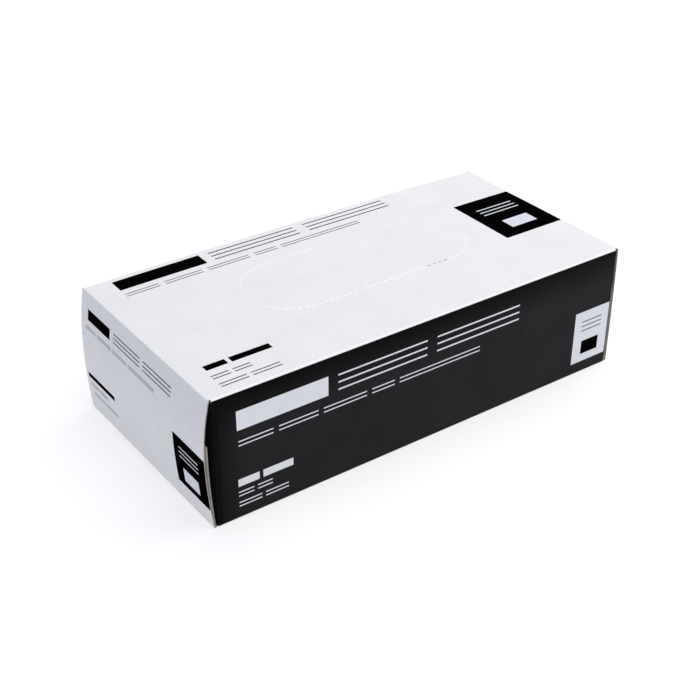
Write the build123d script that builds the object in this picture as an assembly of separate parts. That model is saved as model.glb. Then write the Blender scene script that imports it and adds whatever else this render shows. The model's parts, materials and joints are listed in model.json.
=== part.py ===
from build123d import *
import os
from math import radians, tan

# A dispenser carton for disposable gloves: a glued tube of folding board, closed at each end by
# four creased flaps, with a tear-out oval in its top and one hundred folded gloves inside.
#
# Millimetres. The origin is the middle of the base. +X runs along the carton, +Z is up, and the
# front is the -Y side. The left end is at -X. Every flap is modelled closed.

# The tube
LENGTH = 240.0
WIDTH = 120.0
HEIGHT = 68.0
BOARD = 0.5  # thickness of the folding board
BEND = 0.9  # outer radius of a folded crease
HALF_LENGTH = LENGTH / 2
SIDE_SETBACK = 1.0  # the front and back panels stop this short of the top and bottom ones
GLUE_FLAP_HEIGHT = 15.0
GLUE_FLAP_END_GAP = 2.5
GLUE_FLAP_TAPER = 7.0

# The tear-out oval, a slot with round ends
OVAL_LENGTH = 126.6
OVAL_WIDTH = 47.0
OVAL_X = 2.7
OVAL_Y = 5.0
CUT_WIDTH = 0.25  # the perforation's cut line

# End flaps. A flap's crease is a hinge: its axis is CREASE_OUT beyond the end of the tube.
CREASE_OUT = 0.45
OUTER_FLAP_WIDTH = 119.6
OUTER_FLAP_BOTTOM = 0.4  # height of the free edge over the base
LEFT_OUTER_LEAN = 1.0  # how much further out the free edge is than the crease
LEFT_OUTER_BOW = 2.9  # the gloves push the left end out
RIGHT_OUTER_LEAN = 0.8  # the right end stays nearly flat
RIGHT_OUTER_BOW = 0.6
INNER_FLAP_WIDTH = 118.6
INNER_FLAP_TOP = 45.0
LEFT_INNER_LEAN = 2.0
LEFT_INNER_BOW = 0.8
RIGHT_INNER_LEAN = -0.4
RIGHT_INNER_BOW = 0.1

# Dust flaps fold in from the front and back panels, inside the mouth of the tube
DUST_CREASE_IN = 0.55  # the crease's axis is this far inside the end of the tube
DUST_FLAP_LENGTH = 39.0
DUST_FLAP_LOW = 1.2
DUST_FLAP_HIGH = 66.8
DUST_LOWER_TAPER = 38.0  # degrees
DUST_UPPER_TAPER = 20.0
DUST_CORNER = 3.0

# Hot-melt glue strips on the outside of each inner flap
GLUE_STRIP_HEIGHTS = (14.0, 28.0)
GLUE_STRIP_HEIGHT = 3.0
GLUE_STRIP_LENGTH = 84.0
GLUE_STRIP_THICKNESS = 0.45

# Gloves: flat, folded once, the fold outward and the cuff at the middle of the carton
GLOVE_FILM = 0.09
GLOVE_WIDTH = 106.0
GLOVE_STACK_Y = -0.3
CUFF_LEG = 116.5  # from the cuff to the fold
FINGER_LEG = 112.0
FOLD_THICKNESS = 1.08
LAYER_PITCH = 1.2
FIRST_LAYER = 0.55
CUFF_X = 1.2  # the cuff's distance from the middle
NODE_COUNT = 25
LAYERS_PER_NODE = 2

HALF_BOARD = BOARD / 2
RIGHT, LEFT = 1, -1
FRONT, BACK = -1, 1


def save(name, *shapes):
    """Write one node: a single solid, or a group of separate ones."""
    shape = shapes[0] if len(shapes) == 1 else Compound(children=list(shapes))
    export_step(shape, f"parts/{name}.step")


def prism_x(profile, half_length):
    """A profile drawn in Y and Z, run along X, half_length each way."""
    return extrude(Plane.YZ * profile, amount=half_length, both=True)


def to_end(shape, end):
    """A shape made for the right end, or its mirror image for the left one."""
    return shape if end == RIGHT else mirror(shape, about=Plane.YZ)


# ---------------------------------------------------------------- tube


def folded_ring(back_y):
    """The board's section as a closed ring with folded corners, from the front to back_y."""
    front_y = -WIDTH / 2
    centre = Pos((front_y + back_y) / 2, HEIGHT / 2)
    outer = RectangleRounded(back_y - front_y, HEIGHT, BEND)
    inner = RectangleRounded(back_y - front_y - 2 * BOARD, HEIGHT - 2 * BOARD, BEND - BOARD)
    return centre * (outer - inner)


def mitred(ring, *corners):
    """The stretch of the ring inside a polygon whose slanted sides cut its corners at 45 degrees."""
    return ring & make_face(Polyline(*corners, close=True))


def tube_panels():
    """The four panels and the glue flap, which meet at the middle of each folded corner."""
    front, back = -WIDTH / 2, WIDTH / 2
    seam = back - BOARD  # the glue flap's outer face, against the back panel
    deep = 3 * BEND  # the mitre cuts reach this far in
    side_half = HALF_LENGTH - SIDE_SETBACK

    wrap = folded_ring(back)
    tuck = folded_ring(seam)
    top = mitred(
        wrap, (front, HEIGHT), (back, HEIGHT), (back - deep, HEIGHT - deep), (front + deep, HEIGHT - deep)
    )
    front_profile = mitred(
        wrap, (front, 0), (front, HEIGHT), (front + deep, HEIGHT - deep), (front + deep, deep)
    )
    back_upper = mitred(
        wrap, (back, HEIGHT), (back - deep, HEIGHT - deep), (back - deep, deep), (back, deep)
    )
    back_lower = Pos(back - HALF_BOARD, deep / 2) * Rectangle(BOARD, deep)
    bottom = mitred(tuck, (front, 0), (seam, 0), (seam - deep, deep), (front + deep, deep))
    glue = mitred(
        tuck, (seam, 0), (seam, GLUE_FLAP_HEIGHT), (seam - deep, GLUE_FLAP_HEIGHT), (seam - deep, deep)
    )

    glue_base = HALF_LENGTH - GLUE_FLAP_END_GAP
    glue_outline = Plane.XZ.offset(-WIDTH) * make_face(
        Polyline(
            (-glue_base, 0),
            (glue_base, 0),
            (glue_base - GLUE_FLAP_TAPER, GLUE_FLAP_HEIGHT),
            (-glue_base + GLUE_FLAP_TAPER, GLUE_FLAP_HEIGHT),
            close=True,
        )
    )
    glue_flap = prism_x(glue, glue_base) & extrude(glue_outline, amount=2 * WIDTH)
    return {
        "front_panel": prism_x(front_profile, side_half),
        "back_panel": prism_x(back_upper + back_lower, side_half),
        "bottom_panel": prism_x(bottom, HALF_LENGTH),
        "glue_flap": glue_flap,
        "top_panel": prism_x(top, HALF_LENGTH) - oval(2 * CUT_WIDTH),
    }


def oval(extra):
    """The tear-out's outline through the top board, larger by extra across."""
    outline = Pos(OVAL_X, OVAL_Y, HEIGHT - BOARD) * SlotOverall(OVAL_LENGTH + extra, OVAL_WIDTH + extra)
    return extrude(outline, amount=BOARD)


# ---------------------------------------------------------------- end flaps


class Bow:
    """A circular arc in X and Z from a crease to a free edge, bulging outward by a set amount."""

    def __init__(self, crease, tip, bulge):
        self.crease, self.tip = Vector(*crease), Vector(*tip)
        chord = self.tip - self.crease
        outward = Vector(abs(chord.Y), -chord.X * (1 if chord.Y > 0 else -1)).normalized()
        self.radius = (chord.length**2 / 4 + bulge**2) / (2 * bulge)
        self.centre = self.crease + chord / 2 - outward * (self.radius - bulge)
        self.middle = self.centre + outward * self.radius

    def shifted(self, point, out):
        """A point of the arc, moved outward along the radius."""
        return point + (point - self.centre).normalized() * out

    def at_height(self, height):
        """The arc's point at a height."""
        rise = height - self.centre.Y
        return Vector(self.centre.X + (self.radius**2 - rise**2) ** 0.5, height)

    def band(self, start, end, inner, outer, round_start=False):
        """The face between two concentric arcs, from one point of the arc to another."""
        middle = self.at_height((start.Y + end.Y) / 2)
        sides = [
            ThreePointArc(*(self.shifted(p, outer) for p in (start, middle, end))),
            Line(self.shifted(end, outer), self.shifted(end, inner)),
            ThreePointArc(*(self.shifted(p, inner) for p in (end, middle, start))),
        ]
        if round_start:
            along = (self.shifted(start, 1) - start).rotate(Axis.Z, 90 if start.Y > end.Y else -90)
            sides.append(
                ThreePointArc(self.shifted(start, inner), start + along * outer, self.shifted(start, outer))
            )
        else:
            sides.append(Line(self.shifted(start, inner), self.shifted(start, outer)))
        return make_face(sides)


def across(profile, width):
    """A profile drawn in X and Z, run across the carton."""
    return extrude(Plane.XZ * profile, amount=width / 2, both=True)


CREASE_X = HALF_LENGTH + CREASE_OUT


def outer_bow(lean, bulge):
    """An outer flap's section, hanging from the top crease."""
    return Bow((CREASE_X, HEIGHT - HALF_BOARD), (CREASE_X + lean, OUTER_FLAP_BOTTOM), bulge)


def inner_bow(lean, bulge):
    """An inner flap's section, standing up from the bottom crease."""
    return Bow((CREASE_X, HALF_BOARD), (CREASE_X + lean, INNER_FLAP_TOP), bulge)


OUTER_BOWS = {
    LEFT: outer_bow(LEFT_OUTER_LEAN, LEFT_OUTER_BOW),
    RIGHT: outer_bow(RIGHT_OUTER_LEAN, RIGHT_OUTER_BOW),
}
INNER_BOWS = {
    LEFT: inner_bow(LEFT_INNER_LEAN, LEFT_INNER_BOW),
    RIGHT: inner_bow(RIGHT_INNER_LEAN, RIGHT_INNER_BOW),
}


def major_flap(bow, width):
    """A bowed flap with a rounded root about its crease."""
    return across(bow.band(bow.crease, bow.tip, -HALF_BOARD, HALF_BOARD, round_start=True), width)


def glue_strips(bow):
    """Strips of hot melt lying across the outside of an inner flap."""
    strips = []
    for height in GLUE_STRIP_HEIGHTS:
        low, high = (bow.at_height(height + side * GLUE_STRIP_HEIGHT / 2) for side in (-1, 1))
        band = bow.band(low, high, HALF_BOARD, HALF_BOARD + GLUE_STRIP_THICKNESS)
        strips.append(across(band, GLUE_STRIP_LENGTH))
    return strips


def dust_flap(side):
    """A tapered flap folded across the mouth from the front or the back panel."""
    crease_x = HALF_LENGTH - DUST_CREASE_IN
    crease_y = side * (WIDTH / 2 - HALF_BOARD)
    inward = -side
    reach = DUST_FLAP_LENGTH
    outline = make_face(
        Polyline(
            (0, DUST_FLAP_LOW),
            (inward * reach, DUST_FLAP_LOW + reach * tan(radians(DUST_LOWER_TAPER))),
            (inward * reach, DUST_FLAP_HIGH - reach * tan(radians(DUST_UPPER_TAPER))),
            (0, DUST_FLAP_HIGH),
            close=True,
        )
    )
    free_corners = outline.vertices().group_by(Axis.X)[-1 if inward > 0 else 0]
    outline = fillet(free_corners, DUST_CORNER)
    plate = extrude(Plane.YZ * outline, amount=HALF_BOARD, both=True)
    root = Pos(0, 0, DUST_FLAP_LOW) * extrude(Circle(HALF_BOARD), amount=DUST_FLAP_HIGH - DUST_FLAP_LOW)
    return Pos(crease_x, crease_y, 0) * (plate + root)


# ---------------------------------------------------------------- gloves


def folded_glove(layer, end):
    """One glove as a flat double film folded back on itself, with the fold toward the end."""
    low = FIRST_LAYER + layer * LAYER_PITCH
    high = low + FOLD_THICKNESS
    leg = 2 * GLOVE_FILM
    fold_radius = FOLD_THICKNESS / 2
    turn = CUFF_X + CUFF_LEG - fold_radius
    finger_x = CUFF_X + CUFF_LEG - FINGER_LEG
    middle = (low + high) / 2
    outline = [
        Line((CUFF_X, low), (turn, low)),
        ThreePointArc((turn, low), (turn + fold_radius, middle), (turn, high)),
        Line((turn, high), (finger_x, high)),
        Line((finger_x, high), (finger_x, high - leg)),
        Line((finger_x, high - leg), (turn, high - leg)),
        ThreePointArc((turn, high - leg), (turn + fold_radius - leg, middle), (turn, low + leg)),
        Line((turn, low + leg), (CUFF_X, low + leg)),
        Line((CUFF_X, low + leg), (CUFF_X, low)),
    ]
    return to_end(Pos(0, GLOVE_STACK_Y, 0) * across(make_face(outline), GLOVE_WIDTH), end)


# ---------------------------------------------------------------- the carton

os.makedirs("parts", exist_ok=True)

for name, panel in tube_panels().items():
    save(name, panel)
save("tear_out_panel", oval(0))

for end_name, end in (("left", LEFT), ("right", RIGHT)):
    save(f"{end_name}_outer_flap", to_end(major_flap(OUTER_BOWS[end], OUTER_FLAP_WIDTH), end))
    save(f"{end_name}_inner_flap", to_end(major_flap(INNER_BOWS[end], INNER_FLAP_WIDTH), end))
    save(f"{end_name}_hot_melt_strips", *(to_end(strip, end) for strip in glue_strips(INNER_BOWS[end])))
    save(f"{end_name}_front_dust_flap", to_end(dust_flap(FRONT), end))
    save(f"{end_name}_back_dust_flap", to_end(dust_flap(BACK), end))

for number in range(NODE_COUNT):
    layers = range(number * LAYERS_PER_NODE, (number + 1) * LAYERS_PER_NODE)
    gloves = [folded_glove(layer, end) for layer in layers for end in (LEFT, RIGHT)]
    save(f"gloves_{number + 1:02d}", *gloves)
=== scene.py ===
import json
import math

import bpy
from mathutils import Matrix, Vector, noise
from mathutils.geometry import delaunay_2d_cdt


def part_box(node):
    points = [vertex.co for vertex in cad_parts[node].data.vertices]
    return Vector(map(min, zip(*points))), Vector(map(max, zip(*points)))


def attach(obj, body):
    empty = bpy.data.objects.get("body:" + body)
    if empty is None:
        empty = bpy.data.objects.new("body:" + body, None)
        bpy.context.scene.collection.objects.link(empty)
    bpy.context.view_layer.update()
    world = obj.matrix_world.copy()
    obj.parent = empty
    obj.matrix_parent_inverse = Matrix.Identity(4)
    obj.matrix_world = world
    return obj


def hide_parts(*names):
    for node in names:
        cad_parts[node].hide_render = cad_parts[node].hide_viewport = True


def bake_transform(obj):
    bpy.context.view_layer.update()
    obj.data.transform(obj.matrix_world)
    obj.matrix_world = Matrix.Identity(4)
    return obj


# A dispenser carton for disposable gloves. Lengths are millimetres until a mesh is made.
# +X runs along the carton, +Z is up, the front is the -Y side and the left end is at -X.

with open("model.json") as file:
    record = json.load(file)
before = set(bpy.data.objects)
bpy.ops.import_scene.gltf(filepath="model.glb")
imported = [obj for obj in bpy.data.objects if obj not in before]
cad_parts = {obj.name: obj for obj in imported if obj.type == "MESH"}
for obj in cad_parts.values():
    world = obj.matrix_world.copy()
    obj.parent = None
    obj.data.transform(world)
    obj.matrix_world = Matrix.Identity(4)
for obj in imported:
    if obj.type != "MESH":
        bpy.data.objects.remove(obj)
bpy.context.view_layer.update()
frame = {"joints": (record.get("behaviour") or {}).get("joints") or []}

MM = 0.001
LEFT, RIGHT = -1, 1
FRONT, BACK = -1, 1
ENDS = (("left", LEFT), ("right", RIGHT))
SIDES = (("front", FRONT), ("back", BACK))


def box_mm(node):
    """A CAD node's lowest and highest corners in millimetres."""
    low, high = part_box(node)
    return low / MM, high / MM


def hinge(name):
    """A joint's position in millimetres."""
    joint = next(j for j in frame["joints"] if j["name"] == name)
    return Vector(joint["pos_m"]) / MM


# ---------------------------------------------------------------- sizes, from the frame

top_high = box_mm("top_panel")[1]
front_high = box_mm("front_panel")[1]
glue_high = box_mm("glue_flap")[1]
tear_low, tear_high = box_mm("tear_out_panel")
flap_low, flap_high = box_mm("right_outer_flap")
inner_high = box_mm("right_inner_flap")[1]
dust_low, dust_high = box_mm("right_front_dust_flap")
strip_low, strip_high = box_mm("right_hot_melt_strips")

BOARD = 0.5
BEND = 0.9  # the outside radius of the tube's long creases
HALF_LENGTH = top_high.x
HALF_WIDTH = top_high.y
HEIGHT = top_high.z
SIDE_HALF = front_high.x
FLAT_Y = HALF_WIDTH - BEND
OUTER_HINGE = hinge("right_outer_flap_hinge")
INNER_HINGE = hinge("right_inner_flap_hinge")
DUST_HINGE = hinge("right_back_dust_flap_hinge")


# ---------------------------------------------------------------- material building

# painted shade on the black ink: axis, where the ink is darkest and where the shade ends, in metres, and the
# least share of the ink's own colour
INK_PAINTED_SHADE = (("Z", 0.070, 0.044, 0.02), ("X", -0.1178, -0.1150, 0.03), ("X", -0.119, -0.100, 0.35))

# noise scales, in features a metre or so
MOTTLE_SCALE = 46
SPECKLE_SCALE = 700
SHINE_SCALE = 130


class Nodes:
    """A material's node tree, with a short way to add and join nodes."""

    def __init__(self, name):
        self.material = bpy.data.materials.new(name)
        self.material.use_nodes = True
        self.tree = self.material.node_tree
        self.shader = self.tree.nodes["Principled BSDF"]

    def add(self, kind):
        return self.tree.nodes.new(kind)

    def link(self, out_socket, in_socket):
        self.tree.links.new(out_socket, in_socket)

    def coordinates(self, stretch=(1, 1, 1)):
        """Object coordinates in metres, stretched."""
        place = self.add("ShaderNodeTexCoord")
        mapping = self.add("ShaderNodeMapping")
        mapping.inputs["Scale"].default_value = stretch
        self.link(place.outputs["Object"], mapping.inputs["Vector"])
        return mapping.outputs["Vector"]

    def noise(self, scale, detail=4.0, rough=0.55, stretch=(1, 1, 1)):
        texture = self.add("ShaderNodeTexNoise")
        texture.inputs["Scale"].default_value = scale
        texture.inputs["Detail"].default_value = detail
        texture.inputs["Roughness"].default_value = rough
        self.link(self.coordinates(stretch), texture.inputs["Vector"])
        return texture.outputs["Fac"]

    def ramp(self, factor, stops):
        ramp = self.add("ShaderNodeValToRGB")
        elements = ramp.color_ramp.elements
        for element, (at, colour) in zip(elements, (stops[0], stops[-1])):
            element.position, element.color = at, (*colour, 1)
        for at, colour in stops[1:-1]:
            elements.new(at).color = (*colour, 1)
        self.link(factor, ramp.inputs["Fac"])
        return ramp.outputs["Color"]

    def with_painted_shade(self, colour):
        """Painted shade: a colour made darker towards the top crease and the carton's left end."""
        place = self.add("ShaderNodeTexCoord")
        parts = self.add("ShaderNodeSeparateXYZ")
        self.link(place.outputs["Object"], parts.inputs["Vector"])
        for axis, start, stop, least in INK_PAINTED_SHADE:
            fade = self.add("ShaderNodeMapRange")
            fade.interpolation_type = "SMOOTHERSTEP"
            fade.inputs["From Min"].default_value = start
            fade.inputs["From Max"].default_value = stop
            fade.inputs["To Min"].default_value = least
            self.link(parts.outputs[axis], fade.inputs["Value"])
            scale = self.add("ShaderNodeVectorMath")
            scale.operation = "SCALE"
            self.link(colour, scale.inputs[0])
            self.link(fade.outputs["Result"], scale.inputs["Scale"])
            colour = scale.outputs["Vector"]
        return colour

    def bump(self, *layers):
        """Layers of (height, strength, distance in metres), one over another."""
        normal = None
        for height, strength, distance in layers:
            bump = self.add("ShaderNodeBump")
            bump.inputs["Strength"].default_value = strength
            bump.inputs["Distance"].default_value = distance
            self.link(height, bump.inputs["Height"])
            if normal is not None:
                self.link(normal, bump.inputs["Normal"])
            normal = bump.outputs["Normal"]
        self.link(normal, self.shader.inputs["Normal"])


def grey(value):
    return (value, value, value)


def finish_material(
    name, colours, roughness, grain, specular=0.5, coat=0.0, stretch=(1, 1, 1), paint_shade=False
):
    """A procedural finish: mottled colour, mottled roughness and one or more bump layers.

    colours are (dark, light), roughness is (low, high), grain is (scale, strength, distance) rows.
    The last flag adds painted shade: the ink darker towards the top crease and the carton's left end."""
    nodes = Nodes(name)
    dark, light = colours
    mottle = nodes.add("ShaderNodeMix")
    nodes.link(nodes.noise(MOTTLE_SCALE, 6, 0.6, stretch), mottle.inputs["A"])
    nodes.link(nodes.noise(SPECKLE_SCALE, 3, 0.6, stretch), mottle.inputs["B"])
    colour = nodes.ramp(mottle.outputs["Result"], ((0.36, dark), (0.64, light)))
    # painted shade: the ink darker towards the top crease and the carton's left end
    if paint_shade:
        colour = nodes.with_painted_shade(colour)
    nodes.link(colour, nodes.shader.inputs["Base Color"])
    smooth, matt = roughness
    patches = nodes.noise(SHINE_SCALE, 5, 0.6, stretch)
    shine = nodes.ramp(patches, ((0.3, grey(smooth)), (0.7, grey(matt))))
    nodes.link(shine, nodes.shader.inputs["Roughness"])
    layers = []
    for scale, strength, distance in grain:
        layers.append((nodes.noise(scale, 5, 0.6, stretch), strength, distance))
    nodes.bump(*layers)
    nodes.shader.inputs["Specular IOR Level"].default_value = specular
    nodes.shader.inputs["Coat Weight"].default_value = coat
    nodes.shader.inputs["Coat Roughness"].default_value = 0.22
    return nodes.material


WHITE = finish_material(
    "white_coated_board", ((0.779, 0.780, 0.744), (0.836, 0.837, 0.798)), (0.44, 0.56),
    ((60, 0.12, 0.0006), (800, 0.22, 0.0001)), specular=0.35,
)
# the long sides' black ink, with painted shade towards the top crease and the left end
BLACK = finish_material(
    "black_printed_board_painted_shade", ((0.0105, 0.0098, 0.0108), (0.0168, 0.0158, 0.0172)), (0.20, 0.38),
    ((55, 0.30, 0.0006), (900, 0.30, 0.0001)), specular=0.04, paint_shade=True,
)
FLAP_BLACK = finish_material(
    "black_printed_flap", ((0.0085, 0.0080, 0.0088), (0.0140, 0.0132, 0.0143)), (0.20, 0.38),
    ((55, 0.30, 0.0006), (900, 0.30, 0.0001)), specular=0.04,
)
CHIP = finish_material(
    "grey_board_inside", ((0.35, 0.325, 0.295), (0.45, 0.42, 0.385)), (0.82, 0.94),
    ((180, 0.35, 0.0003), (1600, 0.4, 0.0001)), specular=0.2,
)
RAW_EDGE = finish_material(
    "cut_board_edge", ((0.13, 0.10, 0.08), (0.43, 0.38, 0.33)), (0.85, 0.95),
    ((900, 0.5, 0.0001),), specular=0.15, stretch=(1, 1, 7),
)
PRINT_WHITE = finish_material(
    "white_print", ((0.66, 0.675, 0.70), (0.71, 0.725, 0.755)), (0.36, 0.46),
    ((900, 0.08, 0.0001),),
)
PRINT_BLACK = finish_material(
    "black_print", ((0.0010, 0.0010, 0.0011), (0.0022, 0.0021, 0.0022)), (0.4, 0.52),
    ((900, 0.10, 0.0001),), specular=0.0,
)
PRINT_GREY = finish_material(
    "grey_print", ((0.115, 0.115, 0.12), (0.15, 0.15, 0.155)), (0.38, 0.48), ((900, 0.08, 0.0001),),
)
# torn fibre for the perforation burr, and also a painted highlight along the long sides' top crease
TORN_FIBRE_AND_HIGHLIGHT = finish_material(
    "torn_fibre_and_painted_highlight", ((0.88, 0.885, 0.90), (0.96, 0.962, 0.97)), (0.8, 0.95),
    ((1800, 0.6, 0.0001),), specular=0.2,
)
HOT_MELT = finish_material(
    "hot_melt_adhesive", ((0.60, 0.47, 0.24), (0.76, 0.64, 0.40)), (0.22, 0.4),
    ((220, 0.3, 0.0003),), specular=0.5, coat=0.2,
)
hot_melt_shader = HOT_MELT.node_tree.nodes["Principled BSDF"]
hot_melt_shader.inputs["Subsurface Weight"].default_value = 0.2
hot_melt_shader.inputs["Subsurface Radius"].default_value = (0.002, 0.0012, 0.0006)
NITRILE = finish_material(
    "black_nitrile_film", ((0.012, 0.012, 0.014), (0.024, 0.024, 0.027)), (0.34, 0.52),
    ((90, 0.35, 0.0008), (1500, 0.3, 0.0001)), specular=0.5,
)

BOARD_FINISH = [WHITE, CHIP, RAW_EDGE, BLACK, FLAP_BLACK, TORN_FIBRE_AND_HIGHLIGHT]
# the last finish is a painted highlight on the top crease's bend
OUTSIDE_WHITE, INSIDE, EDGE, OUTSIDE_BLACK, FLAP_INK, CREASE_PAINTED_HIGHLIGHT = range(6)


# ---------------------------------------------------------------- mesh building


def piece(name, points, faces, picks, materials, sharp=32):
    """A mesh object from points in millimetres; picks is each face's material number."""
    mesh = bpy.data.meshes.new(name)
    mesh.from_pydata([Vector(p) * MM for p in points], [], faces)
    for material in materials:
        mesh.materials.append(material)
    mesh.polygons.foreach_set("material_index", picks)
    mesh.polygons.foreach_set("use_smooth", [True] * len(faces))
    mesh.set_sharp_from_angle(angle=math.radians(sharp))
    mesh.validate()
    shape = bpy.data.objects.new(name, mesh)
    bpy.context.scene.collection.objects.link(shape)
    return shape


def steps(low, high, count):
    return [low + (high - low) * i / count for i in range(count + 1)]


def grid_rim(rows, columns):
    """The border of a grid, once round, as (row, column) pairs."""
    rim = [(i, 0) for i in range(rows)] + [(rows - 1, j) for j in range(1, columns)]
    rim += [(i, columns - 1) for i in range(rows - 2, -1, -1)] + [(0, j) for j in range(columns - 2, 0, -1)]
    return rim


def grid_shell(us, vs, place, outside, thickness, back, rim_pick):
    """A closed slab over a grid. place(u, v) gives a point of its outside and the outward normal.

    outside(u, v) picks the finish at the middle of each cell of the outside."""
    points, faces, picks = [], [], []
    for u in us:
        for v in vs:
            at, normal = place(u, v)
            points += [at, at - normal.normalized() * thickness]
    rows, columns = len(us), len(vs)

    def number(i, j, layer):
        return (i * columns + j) * 2 + layer

    (p, q, r) = (Vector(points[number(*c, 0)]) for c in ((0, 0), (1, 0), (0, 1)))
    flipped = (q - p).cross(r - p).dot(place(us[0], vs[0])[1]) < 0

    def face(corners, pick):
        faces.append(corners[::-1] if flipped else corners)
        picks.append(pick)

    for i in range(rows - 1):
        for j in range(columns - 1):
            ring = ((i, j), (i + 1, j), (i + 1, j + 1), (i, j + 1))
            middle = ((us[i] + us[i + 1]) / 2, (vs[j] + vs[j + 1]) / 2)
            face([number(a, b, 0) for a, b in ring], outside(*middle))
            face([number(a, b, 1) for a, b in reversed(ring)], back)
    rim = grid_rim(rows, columns)
    for a, b in zip(rim, rim[1:] + rim[:1]):
        face([number(*b, 0), number(*a, 0), number(*a, 1), number(*b, 1)], rim_pick)
    return points, faces, picks


def grid_board(name, us, vs, place, outside):
    """A rectangle of board, with its outside, inside and cut edge."""
    return piece(name, *grid_shell(us, vs, place, outside, BOARD, INSIDE, EDGE), BOARD_FINISH)


def cut_board(
    name, outline, holes, place, spacing, outside, thickness=BOARD, materials=BOARD_FINISH, plain=False
):
    """A closed board cut to an outline with holes, flat in (u, v) and placed like a grid's.

    plain gives it one finish all over."""
    loops = [outline, *holes]
    flat, edges = [], []
    for loop in loops:
        first = len(flat)
        flat += [Vector(p) for p in loop]
        edges += [(first + i, first + (i + 1) % len(loop)) for i in range(len(loop))]
    rim_count = len(flat)
    us, vs = [p.x for p in flat], [p.y for p in flat]
    u = min(us) + spacing / 2
    while u < max(us):
        v = min(vs) + spacing / 2
        while v < max(vs):
            spot = Vector((u, v))
            clear = all((spot - p).length > spacing * 0.45 for p in flat[:rim_count])
            if clear and inside(spot, outline) and not any(inside(spot, hole) for hole in holes):
                flat.append(spot)
            v += spacing
        u += spacing
    verts, _, triangles, *_ = delaunay_2d_cdt(flat, edges, [], 0, 1e-6)
    kept = []
    for triangle in triangles:
        middle = sum((verts[i] for i in triangle), Vector((0, 0))) / len(triangle)
        if inside(middle, outline) and not any(inside(middle, hole) for hole in holes):
            kept.append(triangle)
    points = []
    for spot in verts:
        at, normal = place(spot.x, spot.y)
        points += [at, at - normal.normalized() * thickness]
    faces, picks, borders = [], [], {}
    first = kept[0]
    a, b, c = (Vector(points[2 * i]) for i in first[:3])
    middle = sum((verts[i] for i in first), Vector((0, 0))) / len(first)
    flipped = (b - a).cross(c - a).dot(place(middle.x, middle.y)[1]) < 0
    for triangle in kept:
        ring = list(reversed(triangle)) if flipped else list(triangle)
        middle = sum((verts[i] for i in ring), Vector((0, 0))) / len(ring)
        faces += [[2 * i for i in ring], [2 * i + 1 for i in reversed(ring)]]
        picks += [outside(middle.x, middle.y), INSIDE]
        for start, stop in zip(ring, ring[1:] + ring[:1]):
            if (stop, start) in borders:
                del borders[(stop, start)]
            else:
                borders[(start, stop)] = True
    for start, stop in borders:
        faces.append([2 * stop, 2 * start, 2 * start + 1, 2 * stop + 1])
        picks.append(EDGE)
    if plain:
        picks = [0] * len(faces)
    return piece(name, points, faces, picks, materials)


def inside(spot, loop):
    """Whether a flat point lies inside a closed loop."""
    hit = False
    previous = loop[-1]
    for corner in loop:
        if (corner[1] > spot[1]) != (previous[1] > spot[1]):
            across = (previous[0] - corner[0]) * (spot[1] - corner[1]) / (previous[1] - corner[1])
            if spot[0] < across + corner[0]:
                hit = not hit
        previous = corner
    return hit


def keep(shape, body, slot, *nodes):
    """Set what a finished piece rides on and hide the CAD nodes it stands for; slot is not used."""
    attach(shape, body)
    if nodes:
        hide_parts(*nodes)
    return shape


def ease(value, low, high):
    """0 at low, 1 at high, smooth between."""
    t = min(max((value - low) / (high - low), 0), 1)
    return t * t * (3 - 2 * t)


# ---------------------------------------------------------------- tube

DOME = 0.15
BACK_RISE = 0.6
RIGHT_SAG = 0.8
RIPPLE = 0.10
BACK_RISE_FROM_Y = -20
SAG_FROM_X = 60
SAG_FROM_Y = 5
RIPPLE_LENGTH = 38
RIPPLE_WIDTH = 30
RIPPLE_FULL_Y = -40  # the front crease keeps the top straight nearer than this
WHITE_WRAP = 0.66  # the white of the top comes this far down the front
BODY = "carton"


def top_lift(x, y):
    """How far the top panel stands above flat: it bellies over the gloves and sags at one corner."""
    along = 1 - (abs(x) / HALF_LENGTH) ** 4
    belly = DOME * along * (1 - (y / HALF_WIDTH) ** 2)
    back = BACK_RISE * along * ease(y, BACK_RISE_FROM_Y, HALF_WIDTH)
    sag = RIGHT_SAG * ease(x, SAG_FROM_X, HALF_LENGTH) * ease(y, SAG_FROM_Y, HALF_WIDTH)
    ripple = RIPPLE * noise.noise(Vector((x / RIPPLE_LENGTH, y / RIPPLE_WIDTH, 1.7)))
    ripple *= ease(y, -HALF_WIDTH, RIPPLE_FULL_Y)
    return belly + back - sag + ripple * along


def on_top(x, y):
    """A point of the top's outside and its normal."""
    small = 0.5
    slope_x = (top_lift(x + small, y) - top_lift(x - small, y)) / (2 * small)
    slope_y = (top_lift(x, y + small) - top_lift(x, y - small)) / (2 * small)
    return Vector((x, y, HEIGHT + top_lift(x, y))), Vector((-slope_x, -slope_y, 1)).normalized()


NICK_PERIOD = 3.45
CUT_LENGTH = 2.35
CUT_GAP = 0.03  # the cut's half width on each side of the oval
tear_middle = (tear_low + tear_high) / 2
TEAR_RADIUS = (tear_high.y - tear_low.y) / 2
TEAR_STRAIGHT = (tear_high.x - tear_low.x) / 2 - TEAR_RADIUS
TEAR_ROUND = 2 * math.pi * TEAR_RADIUS + 4 * TEAR_STRAIGHT
NICKS = round(TEAR_ROUND / NICK_PERIOD)


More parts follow.
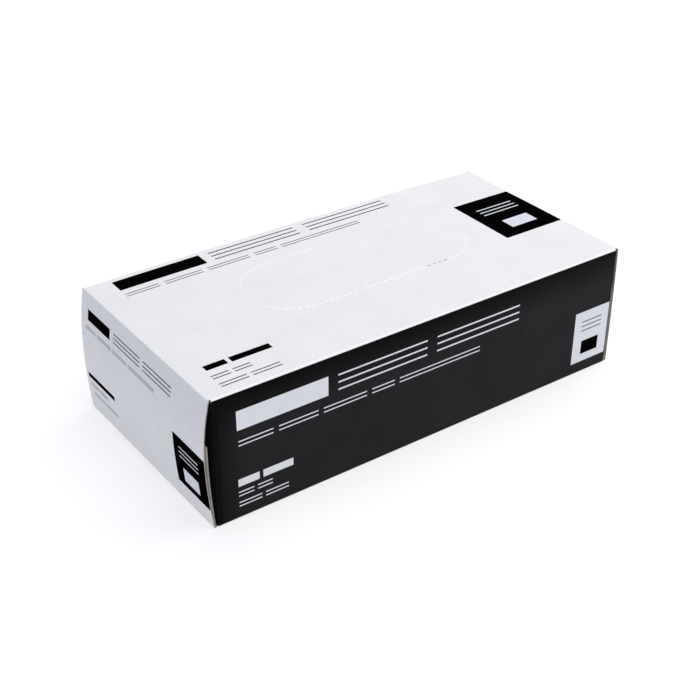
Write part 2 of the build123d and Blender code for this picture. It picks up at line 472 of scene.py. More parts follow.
def oval_point(along, out):
    """A point of the oval's outline, moved out from it, and the outward direction."""
    at = along % TEAR_ROUND
    half_turn = math.pi * TEAR_RADIUS
    straight = 2 * TEAR_STRAIGHT
    for start, flip in ((0, 1), (half_turn + straight, -1)):
        if start <= at < start + half_turn:
            angle = (at - start) / TEAR_RADIUS - math.pi / 2
            outward = Vector((math.cos(angle), math.sin(angle))) * flip
            centre = Vector((TEAR_STRAIGHT * flip, 0))
            return tear_middle.xy + centre + outward * (TEAR_RADIUS + out), outward
        if start + half_turn <= at < start + half_turn + straight:
            run = at - start - half_turn
            outward = Vector((0, flip))
            spot = Vector(((TEAR_STRAIGHT - run) * flip, TEAR_RADIUS * flip))
            return tear_middle.xy + spot + outward * out, outward
    return oval_point(0, out)


# where along each period the outline is cut (out 1) and where it is joined by a nick (out 0)
CUT_AND_NICK = ((0.0, 1), (0.34, 1), (0.66, 1), (0.72, 0), (0.94, 0))


def perforated_outline(side):
    """The oval with a toothed edge: side is 1 for the hole's rim and -1 for the tear-out's."""
    points = []
    period = TEAR_ROUND / NICKS
    for number in range(NICKS):
        start = number * period
        for share, out in CUT_AND_NICK:
            points.append(oval_point(start + share * period, side * CUT_GAP * out)[0])
    return points


def ring_of(low, high, gap):
    """A rectangle's outline with points every gap or so."""
    x_steps = steps(low[0], high[0], max(1, round((high[0] - low[0]) / gap)))
    y_steps = steps(low[1], high[1], max(1, round((high[1] - low[1]) / gap)))
    loop = [(x, low[1]) for x in x_steps] + [(high[0], y) for y in y_steps[1:]]
    loop += [(x, high[1]) for x in reversed(x_steps[:-1])] + [(low[0], y) for y in reversed(y_steps[1:-1])]
    return [Vector(p) for p in loop]


RIM_SPACING = 6
MESH_SPACING = 6.5

top_board = cut_board(
    "top_panel_board", ring_of((-HALF_LENGTH, -FLAT_Y), (HALF_LENGTH, FLAT_Y), RIM_SPACING),
    [perforated_outline(1)], on_top, MESH_SPACING, lambda x, y: OUTSIDE_WHITE,
)
keep(top_board, BODY, "white_board", "top_panel")

tear_board = cut_board(
    "tear_out_board", perforated_outline(-1), [], on_top, MESH_SPACING, lambda x, y: OUTSIDE_WHITE
)
keep(tear_board, "tear_out", "white_board", "tear_out_panel")


def bend_path(corner_y, corner_z, turn_y, turn_z, count=6):
    """A quarter bend's outside, from the flat panel round to the upright one."""
    centre = (corner_y - turn_y * BEND, corner_z - turn_z * BEND)
    rows = []
    for share in steps(0, 1, count):
        angle = share * math.pi / 2
        normal = Vector((0, turn_y * math.sin(angle), turn_z * math.cos(angle)))
        rows.append((Vector((0, *centre)) + normal * BEND, normal))
    return rows


FIRST_LEVEL = HEIGHT - 3.8  # the long sides' first level below the top bend
LAST_LEVEL_RISE = 0.6
SIDE_LEVELS = 12


def side_path(side):
    """The outside of the front or back panel from the top bend down to its lower end."""
    rows = bend_path(side * HALF_WIDTH, HEIGHT, side, 1)
    normal = Vector((0, side, 0))
    low = BEND if side == FRONT else 0.0
    heights = steps(FIRST_LEVEL, low + LAST_LEVEL_RISE, SIDE_LEVELS)
    rows += [(Vector((0, side * HALF_WIDTH, z)), normal) for z in heights]
    if side == FRONT:
        rows += list(reversed(bend_path(side * HALF_WIDTH, 0, side, -1)))
    else:
        rows.append((Vector((0, side * HALF_WIDTH, low)), normal))
    return rows


RIGHT_SPLAY = 0.15
SPLAY_FROM_X = 80
LIFT_FROM_Z = HEIGHT * 0.3  # above this the sides rise with the top's edge
SIDE_CELLS = 48
BELLIES = {FRONT: 0.12, BACK: 0.2}


def splay(x, z):
    """How far the long sides reach out at the right end's lower corners."""
    return RIGHT_SPLAY * ease(x, SPLAY_FROM_X, SIDE_HALF) * (1 - z / HEIGHT)


def side_belly(side, x, z):
    """The long sides stand out very slightly between their creases."""
    along = 1 - (x / SIDE_HALF) ** 4
    up = 4 * z * (HEIGHT - z) / HEIGHT**2
    return BELLIES[side] * along * max(up, 0) * side


def on_side(side):
    rows = side_path(side)

    def place(x, row):
        at, normal = rows[int(row)]
        rise = top_lift(x, side * FLAT_Y) * ease(at.z, LIFT_FROM_Z, HEIGHT)
        return Vector((x + splay(x, at.z), at.y + side_belly(side, x, at.z), at.z + rise)), normal

    return rows, place


for side_name, side in SIDES:
    rows, place = on_side(side)

    def ink(x, row, rows=rows):
        level = rows[int(row)][0].z
        if level <= HEIGHT - WHITE_WRAP + 0.01:
            return OUTSIDE_BLACK
        # painted highlight: the upper rows of the top crease's bend take the brighter torn-fibre white
        return CREASE_PAINTED_HIGHLIGHT if int(row) < 3 else OUTSIDE_WHITE

    across = steps(-SIDE_HALF, SIDE_HALF, SIDE_CELLS)
    board = grid_board(f"{side_name}_panel_board", across, list(range(len(rows))), place, ink)
    keep(board, BODY, "black_board", f"{side_name}_panel")

GLUE_Y = glue_high.y


def on_bottom(x, y):
    return Vector((x, y, 0)), Vector((0, 0, -1))


bottom_board = grid_board(
    "bottom_panel_board", steps(-HALF_LENGTH, HALF_LENGTH, 24), steps(-FLAT_Y, GLUE_Y - BEND, 10),
    on_bottom, lambda x, y: OUTSIDE_WHITE,
)
keep(bottom_board, BODY, "white_board", "bottom_panel")

GLUE_TAPER = 7.0
GLUE_CLEAR = 0.03
glue_rows = list(bend_path(GLUE_Y - GLUE_CLEAR, 0, 1, -1))
glue_rows += [(Vector((0, GLUE_Y - GLUE_CLEAR, z)), Vector((0, 1, 0))) for z in steps(2.5, glue_high.z, 6)]


def on_glue_flap(share, row):
    at, normal = glue_rows[int(row)]
    reach = glue_high.x - GLUE_TAPER * max(at.z, 0) / glue_high.z
    return Vector((share * reach, at.y, at.z)), normal


glue_board = grid_board(
    "glue_flap_board", steps(-1, 1, 24), list(range(len(glue_rows))), on_glue_flap, lambda x, y: OUTSIDE_WHITE
)
keep(glue_board, BODY, "white_board", "glue_flap")

# ---------------------------------------------------------------- end flaps

ROOT_DROP = 0.55  # a flap's own board starts this far from its crease
OUTER_ROOT_Z = OUTER_HINGE.z - ROOT_DROP
OUTER_HALF = flap_high.y
OUTER_TIP_Z = flap_low.z
OUTER_ROOT_X = OUTER_HINGE.x + BOARD / 2
OUTER_CELLS = 24
# how far each end's free edge leans out and its middle bows, at the front edge and at the back edge
LEANS = {LEFT: (0.54, 1.5), RIGHT: (0.75, 0.85)}
BOWS = {LEFT: (3.3, 2.4), RIGHT: (0.3, 0.5)}
HIGH_BULGES = {LEFT: (0.35, 0.15), RIGHT: (0.0, 0.0)}  # how much of the bow moves up towards the crease


def flap_out(end):
    """How far the outside of an outer flap stands out from the middle of the carton, by Y and Z."""

    def out(y, z):
        down = (OUTER_ROOT_Z - z) / (OUTER_ROOT_Z - OUTER_TIP_Z)
        back = (y + OUTER_HALF) / (2 * OUTER_HALF)
        lean = LEANS[end][0] + (LEANS[end][1] - LEANS[end][0]) * back
        bow = BOWS[end][0] + (BOWS[end][1] - BOWS[end][0]) * back
        bulge = HIGH_BULGES[end][0] + (HIGH_BULGES[end][1] - HIGH_BULGES[end][0]) * back
        shape = bow * 4 * down * (1 - down) + bulge * math.sin(2 * math.pi * down)
        return OUTER_ROOT_X + lean * down + shape

    return out


def flap_place(end, out):
    """The outside of an end flap from its distance out, as grid_board wants it."""

    def place(y, z):
        small = 0.4
        slope_y = (out(y + small, z) - out(y - small, z)) / (2 * small)
        slope_z = (out(y, z + small) - out(y, z - small)) / (2 * small)
        normal = Vector((1, -slope_y, -slope_z)).normalized()
        at = Vector((out(y, z), y, z))
        return Vector((end * at.x, at.y, at.z)), Vector((end * normal.x, normal.y, normal.z))

    return place


INNER_HALF = inner_high.y
INNER_ROOT_Z = INNER_HINGE.z + ROOT_DROP
INNER_TOP_Z = inner_high.z
INNER_CELLS = (16, 14)
CREASE_CELLS = 24
INNER_LEANS = {LEFT: 1.9, RIGHT: -0.4}
INNER_BOWS = {LEFT: 0.6, RIGHT: 0.08}


def inner_out(end):
    """The same for an inner flap."""

    def out(y, z):
        up = (z - INNER_ROOT_Z) / (INNER_TOP_Z - INNER_ROOT_Z)
        return INNER_HINGE.x + BOARD / 2 + INNER_LEANS[end] * up + INNER_BOWS[end] * 4 * up * (1 - up)

    return out


def rounded(outline, corners, radius, count=5):
    """A polygon with the numbered corners rounded."""
    loop = []
    for number, corner in enumerate(outline):
        if number not in corners:
            loop.append(Vector(corner))
            continue
        here = Vector(corner)
        before, after = Vector(outline[number - 1]), Vector(outline[(number + 1) % len(outline)])
        start = here + (before - here).normalized() * radius
        stop = here + (after - here).normalized() * radius
        for share in steps(0, 1, count):
            loop.append(start.lerp(here, share).lerp(here.lerp(stop, share), share))
    return loop


DUST_REACH = dust_high.y - dust_low.y - BOARD / 2
DUST_LOWER_TAPER = math.radians(38)
DUST_UPPER_TAPER = math.radians(20)
DUST_CORNER = 3.0
DUST_OUT = DUST_HINGE.x + BOARD / 2
DUST_ROOT = 0.5
DUST_SPACING = 6


def dust_outline():
    """A dust flap's outline as distance in from its crease, and height."""
    tip_low = dust_low.z + DUST_REACH * math.tan(DUST_LOWER_TAPER)
    tip_high = dust_high.z - DUST_REACH * math.tan(DUST_UPPER_TAPER)
    corners = (
        (DUST_ROOT, dust_low.z), (DUST_REACH, tip_low), (DUST_REACH, tip_high), (DUST_ROOT, dust_high.z)
    )
    return rounded(corners, (1, 2), DUST_CORNER)


def quarter(start, start_normal, end, end_normal, corner, count=6):
    """The outside of a crease from one board to the next, bent round a corner."""
    rows = []
    for share in steps(0, 1, count):
        at = start.lerp(corner, share).lerp(corner.lerp(end, share), share)
        rows.append((at, start_normal.lerp(end_normal, share).normalized()))
    return rows


def crease(name, rows, run, lift, ink):
    """A creased strip that joins a tube panel to a flap and bends between them."""

    def place(v, row):
        at, normal = rows[int(row)]
        share = int(row) / (len(rows) - 1)
        return at + run(v) + lift(v) * (1 - share), normal

    vs = steps(-1, 1, CREASE_CELLS)
    strip = grid_board(name, vs, list(range(len(rows))), place, lambda v, row: ink)
    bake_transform(strip)
    return strip


def no_lift(v):
    return Vector((0, 0, 0))


for end_name, end in ENDS:
    outer = f"{end_name}_outer_flap"
    inner = f"{end_name}_inner_flap"
    out_normal = Vector((end, 0, 0))
    up, down = Vector((0, 0, 1)), Vector((0, 0, -1))

    outer_board = grid_board(
        f"{outer}_board", steps(-OUTER_HALF, OUTER_HALF, OUTER_CELLS),
        steps(OUTER_TIP_Z, OUTER_ROOT_Z, OUTER_CELLS),
        flap_place(end, flap_out(end)), lambda y, z: OUTSIDE_WHITE,
    )
    keep(outer_board, outer, "white_board", outer)

    rows = quarter(
        Vector((end * HALF_LENGTH, 0, HEIGHT)), up, Vector((end * OUTER_ROOT_X, 0, OUTER_ROOT_Z)), out_normal,
        Vector((end * OUTER_ROOT_X, 0, HEIGHT)),
    )
    crease(
        f"{end_name}_top_crease", rows, lambda v: Vector((0, v * OUTER_HALF, 0)),
        lambda v, end=end: Vector((0, 0, top_lift(end * HALF_LENGTH, v * OUTER_HALF))),
        OUTSIDE_WHITE,
    )

    inner_board = grid_board(
        f"{inner}_board", steps(-INNER_HALF, INNER_HALF, INNER_CELLS[0]),
        steps(INNER_ROOT_Z, INNER_TOP_Z, INNER_CELLS[1]),
        flap_place(end, inner_out(end)), lambda y, z: OUTSIDE_WHITE,
    )
    keep(inner_board, inner, "white_board", inner)

    inner_root_x = end * (INNER_HINGE.x + BOARD / 2)
    rows = quarter(
        Vector((end * HALF_LENGTH, 0, 0)), down, Vector((inner_root_x, 0, INNER_ROOT_Z)), out_normal,
        Vector((inner_root_x, 0, 0)),
    )
    crease(
        f"{end_name}_bottom_crease", rows, lambda v: Vector((0, v * INNER_HALF, 0)), no_lift,
        OUTSIDE_WHITE,
    )

    for side_name, side in SIDES:
        dust = f"{end_name}_{side_name}_dust_flap"

        def on_dust(reach, z, end=end, side=side):
            return Vector((end * DUST_OUT, side * (DUST_HINGE.y - reach), z)), Vector((end, 0, 0))

        dust_board = cut_board(
            f"{dust}_board", dust_outline(), [], on_dust, DUST_SPACING, lambda u, v: FLAP_INK
        )
        keep(dust_board, dust, "black_board", dust)

        half = (dust_high.z - dust_low.z) / 2
        middle = (dust_high.z + dust_low.z) / 2
        rows = quarter(
            Vector((end * SIDE_HALF, side * HALF_WIDTH, middle)), Vector((0, side, 0)),
            Vector((end * DUST_OUT, side * (DUST_HINGE.y - DUST_ROOT), middle)), out_normal,
            Vector((end * DUST_OUT, side * HALF_WIDTH, middle)),
        )

        def corner_splay(v, end=end, half=half, middle=middle):
            return Vector((splay(end * SIDE_HALF, middle + v * half), 0, 0))

        crease(
            f"{end_name}_{side_name}_side_crease", rows, lambda v, half=half: Vector((0, 0, v * half)),
            corner_splay, OUTSIDE_BLACK,
        )

# ---------------------------------------------------------------- hot melt beads

BEAD_HALF = (strip_high.y - strip_low.y) / 2
BEAD_HEIGHT = 3.0
BEAD_THICKNESS = 0.40
BEAD_SWELL = 0.16
BEAD_DRIFT = 0.35
BEAD_STEPS = 56
BEAD_SIDES = 12
BEAD_LEVELS = (strip_low.z + BEAD_HEIGHT / 2, strip_high.z - BEAD_HEIGHT / 2)


def bead_mesh(end, seed):
    """Flattened ropes of adhesive across an inner flap, uneven along their length."""
    place = flap_place(end, inner_out(end))
    points, faces = [], []
    for level in BEAD_LEVELS:
        first = len(points)
        ys = steps(-BEAD_HALF, BEAD_HALF, BEAD_STEPS)
        for y in ys:
            tip = math.sqrt(max(1 - (abs(y) / BEAD_HALF) ** 10, 0.02))
            swell = 1 + BEAD_SWELL * noise.noise(Vector((y / 5, level, seed)))
            drift = BEAD_DRIFT * noise.noise(Vector((y / 16, level + 9, seed)))
            half_height = BEAD_HEIGHT / 2 * tip * min(swell, 1.0)
            for turn in range(BEAD_SIDES):
                angle = 2 * math.pi * turn / BEAD_SIDES
                at, normal = place(y, level + drift * tip + half_height * math.cos(angle))
                rise = BEAD_THICKNESS * (0.5 + 0.5 * math.sin(angle)) * tip
                points.append(at + normal * rise)
        for i in range(len(ys) - 1):
            for j in range(BEAD_SIDES):
                k = (j + 1) % BEAD_SIDES
                ring = [first + i * BEAD_SIDES + j, first + i * BEAD_SIDES + k]
                faces.append([*ring, ring[1] + BEAD_SIDES, ring[0] + BEAD_SIDES])
        faces.append([first + j for j in range(BEAD_SIDES)][::-1])
        faces.append([first + (len(ys) - 1) * BEAD_SIDES + j for j in range(BEAD_SIDES)])
    if end == RIGHT:
        faces = [face[::-1] for face in faces]
    return points, faces


for end_name, end in ENDS:
    points, faces = bead_mesh(end, 3.1 * end)
    beads = piece(f"{end_name}_hot_melt_beads", points, faces, [0] * len(faces), [HOT_MELT], sharp=80)
    keep(beads, f"{end_name}_inner_flap", "hot_melt", f"{end_name}_hot_melt_strips")

# ---------------------------------------------------------------- gloves

FILM = 0.09
FIRST_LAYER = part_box("gloves_01")[0].z / MM
LAST_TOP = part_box("gloves_25")[1].z / MM
NODE_COUNT = 25
LAYERS = 2 * NODE_COUNT  # each node is two folded gloves deep
PITCH = (LAST_TOP - FIRST_LAYER) / (LAYERS - 0.1)
FOLD = 0.9 * PITCH
GLOVE_HALF = (box_mm("gloves_01")[1].y - box_mm("gloves_01")[0].y) / 2
GLOVE_Y = (box_mm("gloves_01")[1].y + box_mm("gloves_01")[0].y) / 2
CUFF_X = 1.2
FOLD_X = box_mm("gloves_01")[1].x
FINGER_X = CUFF_X + 4.5
FOLD_SHIFT = 1.5  # how unevenly the folds line up
FOLD_CLEAR = 1.5
EDGE_WAVER = 0.035
FILM_WAVE = 0.06
LEG_CELLS = 9
WIDTH_CELLS = 14


def glove_film(end, layer, points, faces):
    """One folded glove: a cuff leg, a rounded fold at the carton's end and a finger leg above."""
    low = FIRST_LAYER + layer * PITCH
    radius = FOLD / 2
    shift = FOLD_SHIFT * noise.noise(Vector((layer * 0.71, end * 3.0, 0.5)))
    turn = FOLD_X - radius - FOLD_CLEAR + shift
    section = [(x, low) for x in steps(CUFF_X, turn, LEG_CELLS)]
    for share in steps(0, 1, 6)[1:-1]:
        angle = -math.pi / 2 + share * math.pi
        section.append((turn + radius * math.cos(angle), low + radius + radius * math.sin(angle)))
    section += [(x, low + FOLD) for x in steps(turn, FINGER_X, LEG_CELLS)]
    columns = steps(-1, 1, WIDTH_CELLS)
    first = len(points)
    thick = 2 * FILM
    for side in (0, 1):
        for number, (x, z) in enumerate(section):
            before = section[max(number - 1, 0)]
            after = section[min(number + 1, len(section) - 1)]
            along = Vector((after[0] - before[0], after[1] - before[1])).normalized()
            inward = Vector((-along.y, along.x)) * (thick * side)
            for across in columns:
                wave = noise.noise(Vector((x / 26, across * 2.3, layer * 0.9 + end)))
                waver = noise.noise(Vector((x / 30, layer * 1.3, end * 5 + across)))
                narrow = 1 - EDGE_WAVER * abs(waver)
                y = GLOVE_Y + across * GLOVE_HALF * narrow
                rise = FILM_WAVE * wave
                points.append(Vector((end * (x + inward.x), y, z + inward.y + rise)))
    rows, width = len(section), len(columns)

    def number(side, i, j):
        return first + (side * rows + i) * width + j

    made = []
    for i in range(rows - 1):
        for j in range(width - 1):
            ring = ((i, j), (i, j + 1), (i + 1, j + 1), (i + 1, j))
            made.append([number(0, a, b) for a, b in ring])
            made.append([number(1, a, b) for a, b in reversed(ring)])
    rim = grid_rim(rows, width)
    for a, b in zip(rim, rim[1:] + rim[:1]):
        made.append([number(0, *a), number(0, *b), number(1, *b), number(1, *a)])
    faces += [face[::-1] for face in made] if end == LEFT else made


for node_number in range(NODE_COUNT):
    points, faces = [], []
    for layer in (2 * node_number, 2 * node_number + 1):
        for _, end in ENDS:
            glove_film(end, layer, points, faces)
    name = f"gloves_{node_number + 1:02d}"
    gloves = piece(f"{name}_film", points, faces, [0] * len(faces), [NITRILE], sharp=70)
    keep(gloves, BODY, "black_nitrile", name)

FINGER_ROOT = 60.0
PALM_END = 74.0
PALM_HALF = 44.0
KNUCKLE_HALF = 44.5
KNUCKLE = FINGER_ROOT + 4
# each finger's centre, half width and tip
FINGERS = ((-33.5, 10.5, 17.0), (-11.5, 11.0, 8.0), (11.5, 11.0, 10.5), (33.0, 10.0, 22.0))
FINGER_CROWN = 1.3
LONG_WRINKLE = 0.55
FINE_WRINKLE = 0.3
HAND_SPACING = 2.6


def hand_outline(shift):
    """The finger end of a flat glove, from its palm to four fingertips, as distance from the middle and Y."""
    loop = [Vector((PALM_END, -PALM_HALF)), Vector((KNUCKLE, -KNUCKLE_HALF))]
    for centre, half, tip in FINGERS:
        tip += shift
        loop.append(Vector((FINGER_ROOT, centre - half)))
        loop.append(Vector(((FINGER_ROOT + tip) / 2, centre - half * 0.98)))
        for share in steps(0, 1, 10):
            angle = -math.pi / 2 + share * math.pi
            loop.append(Vector((tip + half * (1 - math.cos(angle)), centre + half * math.sin(angle) * 0.94)))
        loop.append(Vector(((FINGER_ROOT + tip) / 2, centre + half * 0.98)))
        loop.append(Vector((FINGER_ROOT, centre + half)))
    return loop + [Vector((KNUCKLE, KNUCKLE_HALF)), Vector((PALM_END, PALM_HALF))]


def on_fingers(end, level, turned, seed):
    """Fingers lying flat, a little crowned and wrinkled, turned slightly about the palm."""

    def height(u, v):
        crown = 0.0
        for centre, half, _ in FINGERS:
            share = abs(v - centre) / half
            if share < 1:
                crown = FINGER_CROWN * (1 - share**2) * ease(PALM_END - u, 4, 22)
        wrinkle = LONG_WRINKLE * noise.noise(Vector((u / 7, v / 16, seed)))
        wrinkle += FINE_WRINKLE * noise.noise(Vector((u / 3.2, v / 9, seed + 4)))
        return level + crown + wrinkle * ease(PALM_END - u, 0, 12)

    def place(u, v):
        small = 0.3
        slope_u = (height(u + small, v) - height(u - small, v)) / (2 * small)
        slope_v = (height(u, v + small) - height(u, v - small)) / (2 * small)
        swing = v + turned * (PALM_END - u)
        at = Vector((end * u, GLOVE_Y + swing, height(u, v)))
        return at, Vector((-end * slope_u, -slope_v, 1)).normalized()

    return place


# each upper glove's height above the stack, its turn about the palm and how far its fingers reach
TOP_GLOVES = ((0.75, 0.16, -4.0), (2.3, -0.05, 2.0))

for end_name, end in ENDS:
    for tier, (level, turned, shift) in enumerate(TOP_GLOVES):
        fingers = cut_board(
            f"{end_name}_top_glove_fingers_{tier + 1}", hand_outline(shift), [],
            on_fingers(end, LAST_TOP + level, turned * end, 2.7 * tier + end), HAND_SPACING, lambda u, v: 0,
            thickness=2 * FILM, materials=[NITRILE], plain=True,
        )
        keep(fingers, BODY, "black_nitrile")

# ---------------------------------------------------------------- print: plain bars and blocks

PRINT_THICKNESS = 0.03
PRINT_LIFT = 0.04  # the ink's outside above the board
OVER_LIFT = 0.08  # a mark on a solid square
PRINT_CELL = 4


class Marks:
    """Generic printed marks on one face, in that face's own across and up directions."""

    def __init__(self, place, square):
        self.place, self.square = place, square
        self.points, self.faces, self.picks = [], [], []

    def bar(self, left, right, low, high, ink):
        """A solid mark that follows the face."""
        near, far, bottom, top = self.square
        on_square = near < left and right < far and bottom < low and high < top
        lift = OVER_LIFT if on_square else PRINT_LIFT

        def raised(u, v):
            at, normal = self.place(u, v)
            return at + normal * lift, normal

        us = steps(left, right, max(1, round((right - left) / PRINT_CELL)))
        vs = steps(low, high, max(1, round((high - low) / PRINT_CELL)))
        points, faces, picks = grid_shell(us, vs, raised, lambda u, v: ink, PRINT_THICKNESS, ink, ink)
        first = len(self.points)
        self.points += points
        self.faces += [[first + corner for corner in face] for face in faces]
        self.picks += picks

    def lines(self, left, right, low, high, ink, count, weight):
        """Thin level lines that fill a height evenly."""
        for number in range(count):
            middle = low + (high - low) * (number + 0.5) / count
            self.bar(left, right, middle - weight / 2, middle + weight / 2, ink)

    def words(self, spans, low, high, ink, count, weight):
        for left, right in spans:
            self.lines(left, right, low, high, ink, count, weight)

    def make(self, name, body, slot):
        return keep(piece(name, self.points, self.faces, self.picks, INKS), body, slot)


INKS = [PRINT_BLACK, PRINT_WHITE, PRINT_GREY]
DARK, PALE, MIDDLE = range(3)

# Marks are given by where they start and end across the face, and their low and high levels on it.
SUBTITLE = ((-107, -89), (-86, -65), (-62, -38), (-35, -22), (-19, 30))
LIGHT_TITLE = ((-54, -3), (3, 54.5))

top_square = (82, HALF_LENGTH - 0.1, -18.5, 25.5)
marks = Marks(on_top, top_square)
marks.bar(*top_square, DARK)
marks.bar(-107, -59, 46.2, 55.8, DARK)
marks.words(LIGHT_TITLE, 45.6, 56.4, DARK, 3, 0.75)
marks.words(SUBTITLE, 38.4, 42.8, MIDDLE, 2, 0.65)
marks.bar(-109, -98, -38.8, -34.8, DARK)
marks.bar(-96, -75, -38.8, -34.8, DARK)
marks.words(((-110, -101), (-99, -90)), -47.2, -42.8, DARK, 2, 0.55)
marks.words(((-110, -96), (-94, -79)), -54.2, -49.8, DARK, 2, 0.55)
marks.lines(89, 113, 6.5, 16, PALE, 3, 0.8)
marks.bar(93, 110, -10.5, -1.5, PALE)
marks.make("top_print", BODY, "black_board")


def side_place(side):
    """The front or back face, with across running to the reader's right."""

    def place(u, z):
        x = u if side == FRONT else -u
        y = side * HALF_WIDTH + side_belly(side, x, z)
        return Vector((x + splay(x, z), y, z)), Vector((0, side, 0))

    return place


for side_name, side in SIDES:
    square = (95, SIDE_HALF - 0.1, 6.8, 37.5)
    marks = Marks(side_place(side), square)
    marks.bar(*square, PALE)
    marks.bar(-107.5, -59.5, 47.6, 57.8, PALE)
    marks.words(LIGHT_TITLE, 46.9, 58.5, PALE, 3, 0.85)
    marks.words(SUBTITLE, 38.4, 42.8, PALE, 2, 0.6)
    marks.bar(-108, -97, 17.5, 21.5, PALE)
    marks.bar(-95, -79, 17.5, 21.5, PALE)
    marks.words(((-108, -100), (-98, -90.3)), 11.4, 15.4, PALE, 2, 0.6)
    marks.words(((-108, -96), (-94, -81.7)), 5.7, 9.7, PALE, 2, 0.6)
    marks.lines(100, 114, 24.5, 32.5, MIDDLE, 3, 0.7)
    marks.bar(101, 113, 11.5, 19.5, DARK)
    marks.make(f"{side_name}_print", BODY, "white_board")

for end_name, end in ENDS:
    base = flap_place(end, flap_out(end))
    square = (31.5, OUTER_HALF - 0.1, 10.7, 38.3)
    marks = Marks(lambda u, z, base=base, end=end: base(end * u, z), square)
    marks.bar(*square, DARK)
    marks.bar(-52.5, -29.4, 54.4, 60.1, DARK)
    marks.words(((-25.8, 0.5), (3.5, 30)), 54, 60.5, DARK, 3, 0.5)
    marks.words(((-55, -44), (-42.5, -28), (-26.5, -12), (-10.5, 15)), 48.8, 51.2, MIDDLE, 2, 0.4)
    marks.bar(-57, -29, 20.2, 22.8, DARK)
    marks.words(((-55, -47), (-46, -38)), 15.3, 17.7, MIDDLE, 2, 0.4)
    marks.words(((-54, -42), (-41, -28)), 10.3, 12.7, MIDDLE, 2, 0.4)
    marks.lines(36.5, 53.5, 26.5, 34, PALE, 3, 0.6)
    marks.bar(38.5, 52, 14.5, 22, PALE)
    marks.make(f"{end_name}_end_print", f"{end_name}_outer_flap", "black_board")

# ---------------------------------------------------------------- perforation

RIDGE_WIDTH = 1.0
RIDGE_HEIGHT = 0.10
BURR_LIFT = 0.004
OPEN_CUTS = (28, 43)  # along the front run the cuts between these X stand open and look dark


def perforation_ridges():
    """The cut's burr: a short raised ridge beside each cut, left by the die on the panel's side."""
    points, faces, picks = [], [], []
    period = TEAR_ROUND / NICKS
    for number in range(NICKS):
        start = number * period
        length = CUT_LENGTH * (1 + 0.12 * noise.noise(Vector((number * 0.77, 2.0, 0))))
        centre, outward = oval_point(start + length / 2, 0)
        opened = outward.y < -0.9 and OPEN_CUTS[0] < centre.x < OPEN_CUTS[1]
        width = RIDGE_WIDTH * (0.35 if opened else 0.5 + 0.5 * abs(outward.y))
        first = len(points)
        for share, taper in ((0, 0.3), (0.15, 1), (0.5, 1), (0.85, 1), (1, 0.3)):
            for out, rise in ((-0.08, 0.3), (0.4, 1), (1, 0)):
                spot, _ = oval_point(start + share * length, CUT_GAP + out * width * taper)
                at, normal = on_top(spot.x, spot.y)
                points.append(at + normal * (RIDGE_HEIGHT * rise * taper + BURR_LIFT))
        rings = [[first + 3 * i + j for j in range(3)] for i in range(5)]
        made = [rings[0], rings[-1][::-1]]
        for ring, beyond in zip(rings, rings[1:]):
            for j in range(3):
                made.append([ring[j], beyond[j], beyond[(j + 1) % 3], ring[(j + 1) % 3]])
        faces += made
        picks += [int(opened)] * len(made)
    return points, faces, picks


burr = piece("perforation_burr", *perforation_ridges(), [TORN_FIBRE_AND_HIGHLIGHT, RAW_EDGE], sharp=60)
keep(burr, BODY, "white_board")

# ---------------------------------------------------------------- stage, lights and camera

FLOOR_GREYS = (0.42, 0.44)
FLOOR_GLOW = 0.64  # lifts the floor to the plain pale of the photograph's background

floor_nodes = Nodes("pale_floor")
floor_stops = ((0.3, grey(FLOOR_GREYS[0])), (0.7, grey(FLOOR_GREYS[1])))
floor_shade = floor_nodes.ramp(floor_nodes.noise(3, 2), floor_stops)
floor_nodes.link(floor_shade, floor_nodes.shader.inputs["Base Color"])
floor_nodes.shader.inputs["Roughness"].default_value = 0.9
floor_nodes.shader.inputs["Specular IOR Level"].default_value = 0.1
floor_nodes.shader.inputs["Emission Color"].default_value = (1, 1, 1, 1)
floor_nodes.shader.inputs["Emission Strength"].default_value = FLOOR_GLOW
FLOOR_HALF = 6000.0
FLOOR_Z = -0.05
corners = [(x * FLOOR_HALF, y * FLOOR_HALF, FLOOR_Z) for x, y in ((-1, -1), (1, -1), (1, 1), (-1, 1))]
floor = piece("floor", corners, [[0, 1, 2, 3]], [0], [floor_nodes.material])

LIGHT_FROM = Vector((0.78, -0.42, 0.46)).normalized()
SHADED_SKY = (0.05, 0.08, 0.38, 1)
BRIGHT_SKY = (1.12, 1.12, 1.12, 1)
SKY_STRENGTH = 0.85

world = bpy.data.worlds.new("studio")
bpy.context.scene.world = world
world.use_nodes = True
tree = world.node_tree
background = tree.nodes["Background"]
direction = tree.nodes.new("ShaderNodeTexCoord")
toward = tree.nodes.new("ShaderNodeVectorMath")
toward.operation = "DOT_PRODUCT"
toward.inputs[1].default_value = LIGHT_FROM
spread = tree.nodes.new("ShaderNodeMapRange")
spread.inputs["From Min"].default_value = -1
spread.inputs["From Max"].default_value = 1
shade = tree.nodes.new("ShaderNodeValToRGB")
shade.color_ramp.elements[0].color = SHADED_SKY
shade.color_ramp.elements[1].color = BRIGHT_SKY
tree.links.new(direction.outputs["Generated"], toward.inputs[0])
tree.links.new(toward.outputs["Value"], spread.inputs["Value"])
tree.links.new(spread.outputs["Result"], shade.inputs["Fac"])
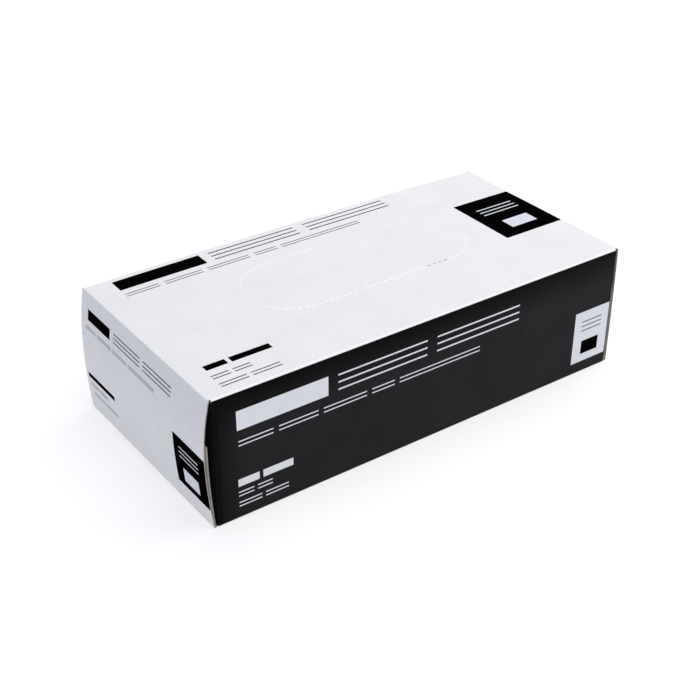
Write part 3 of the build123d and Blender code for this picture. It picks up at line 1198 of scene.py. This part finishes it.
# the coloured studio only lights the carton: seen straight on, behind the floor, it is a plain pale wall
path = tree.nodes.new("ShaderNodeLightPath")
wall = tree.nodes.new("ShaderNodeMix")
wall.data_type = "RGBA"
colour_inputs = [socket for socket in wall.inputs if socket.type == "RGBA"]
colour_output = next(socket for socket in wall.outputs if socket.type == "RGBA")
colour_inputs[1].default_value = BRIGHT_SKY
tree.links.new(path.outputs["Is Camera Ray"], wall.inputs["Factor"])
tree.links.new(shade.outputs["Color"], colour_inputs[0])
tree.links.new(colour_output, background.inputs["Color"])
background.inputs["Strength"].default_value = SKY_STRENGTH


def softbox(name, at, toward_point, size, power):
    light = bpy.data.lights.new(name, "AREA")
    light.shape = "RECTANGLE"
    light.size, light.size_y = size
    light.energy = power
    lamp = bpy.data.objects.new(name, light)
    lamp.location = at
    lamp.rotation_euler = (Vector(toward_point) - Vector(at)).to_track_quat("-Z", "Y").to_euler()
    bpy.context.scene.collection.objects.link(lamp)


softbox("overhead_softbox", at=(0.45, 0.0, 1.3), toward_point=(0.1, 0, 0.05), size=(1.4, 1.2), power=9.7)

CAMERA_AT = Vector((-0.3311, -0.4542, 0.3696))
CAMERA_AZIMUTH = math.radians(-35.70)
CAMERA_ELEVATION = math.radians(31.89)
CAMERA_ROLL = math.radians(0.27)
CAMERA_LENS = 66.05
SENSOR_WIDTH = 36
back = Vector(
    (
        math.sin(CAMERA_AZIMUTH) * math.cos(CAMERA_ELEVATION),
        -math.cos(CAMERA_AZIMUTH) * math.cos(CAMERA_ELEVATION),
        math.sin(CAMERA_ELEVATION),
    )
)
lens = bpy.data.cameras.new("camera")
lens.lens = CAMERA_LENS
lens.sensor_width = SENSOR_WIDTH
lens.clip_start = 0.01
camera = bpy.data.objects.new("camera", lens)
aim = back.to_track_quat("Z", "Y").to_matrix().to_4x4()
camera.matrix_world = Matrix.Translation(CAMERA_AT) @ aim @ Matrix.Rotation(CAMERA_ROLL, 4, "Z")
bpy.context.scene.collection.objects.link(camera)
bpy.context.scene.camera = camera
bpy.context.scene.view_settings.view_transform = "Standard"
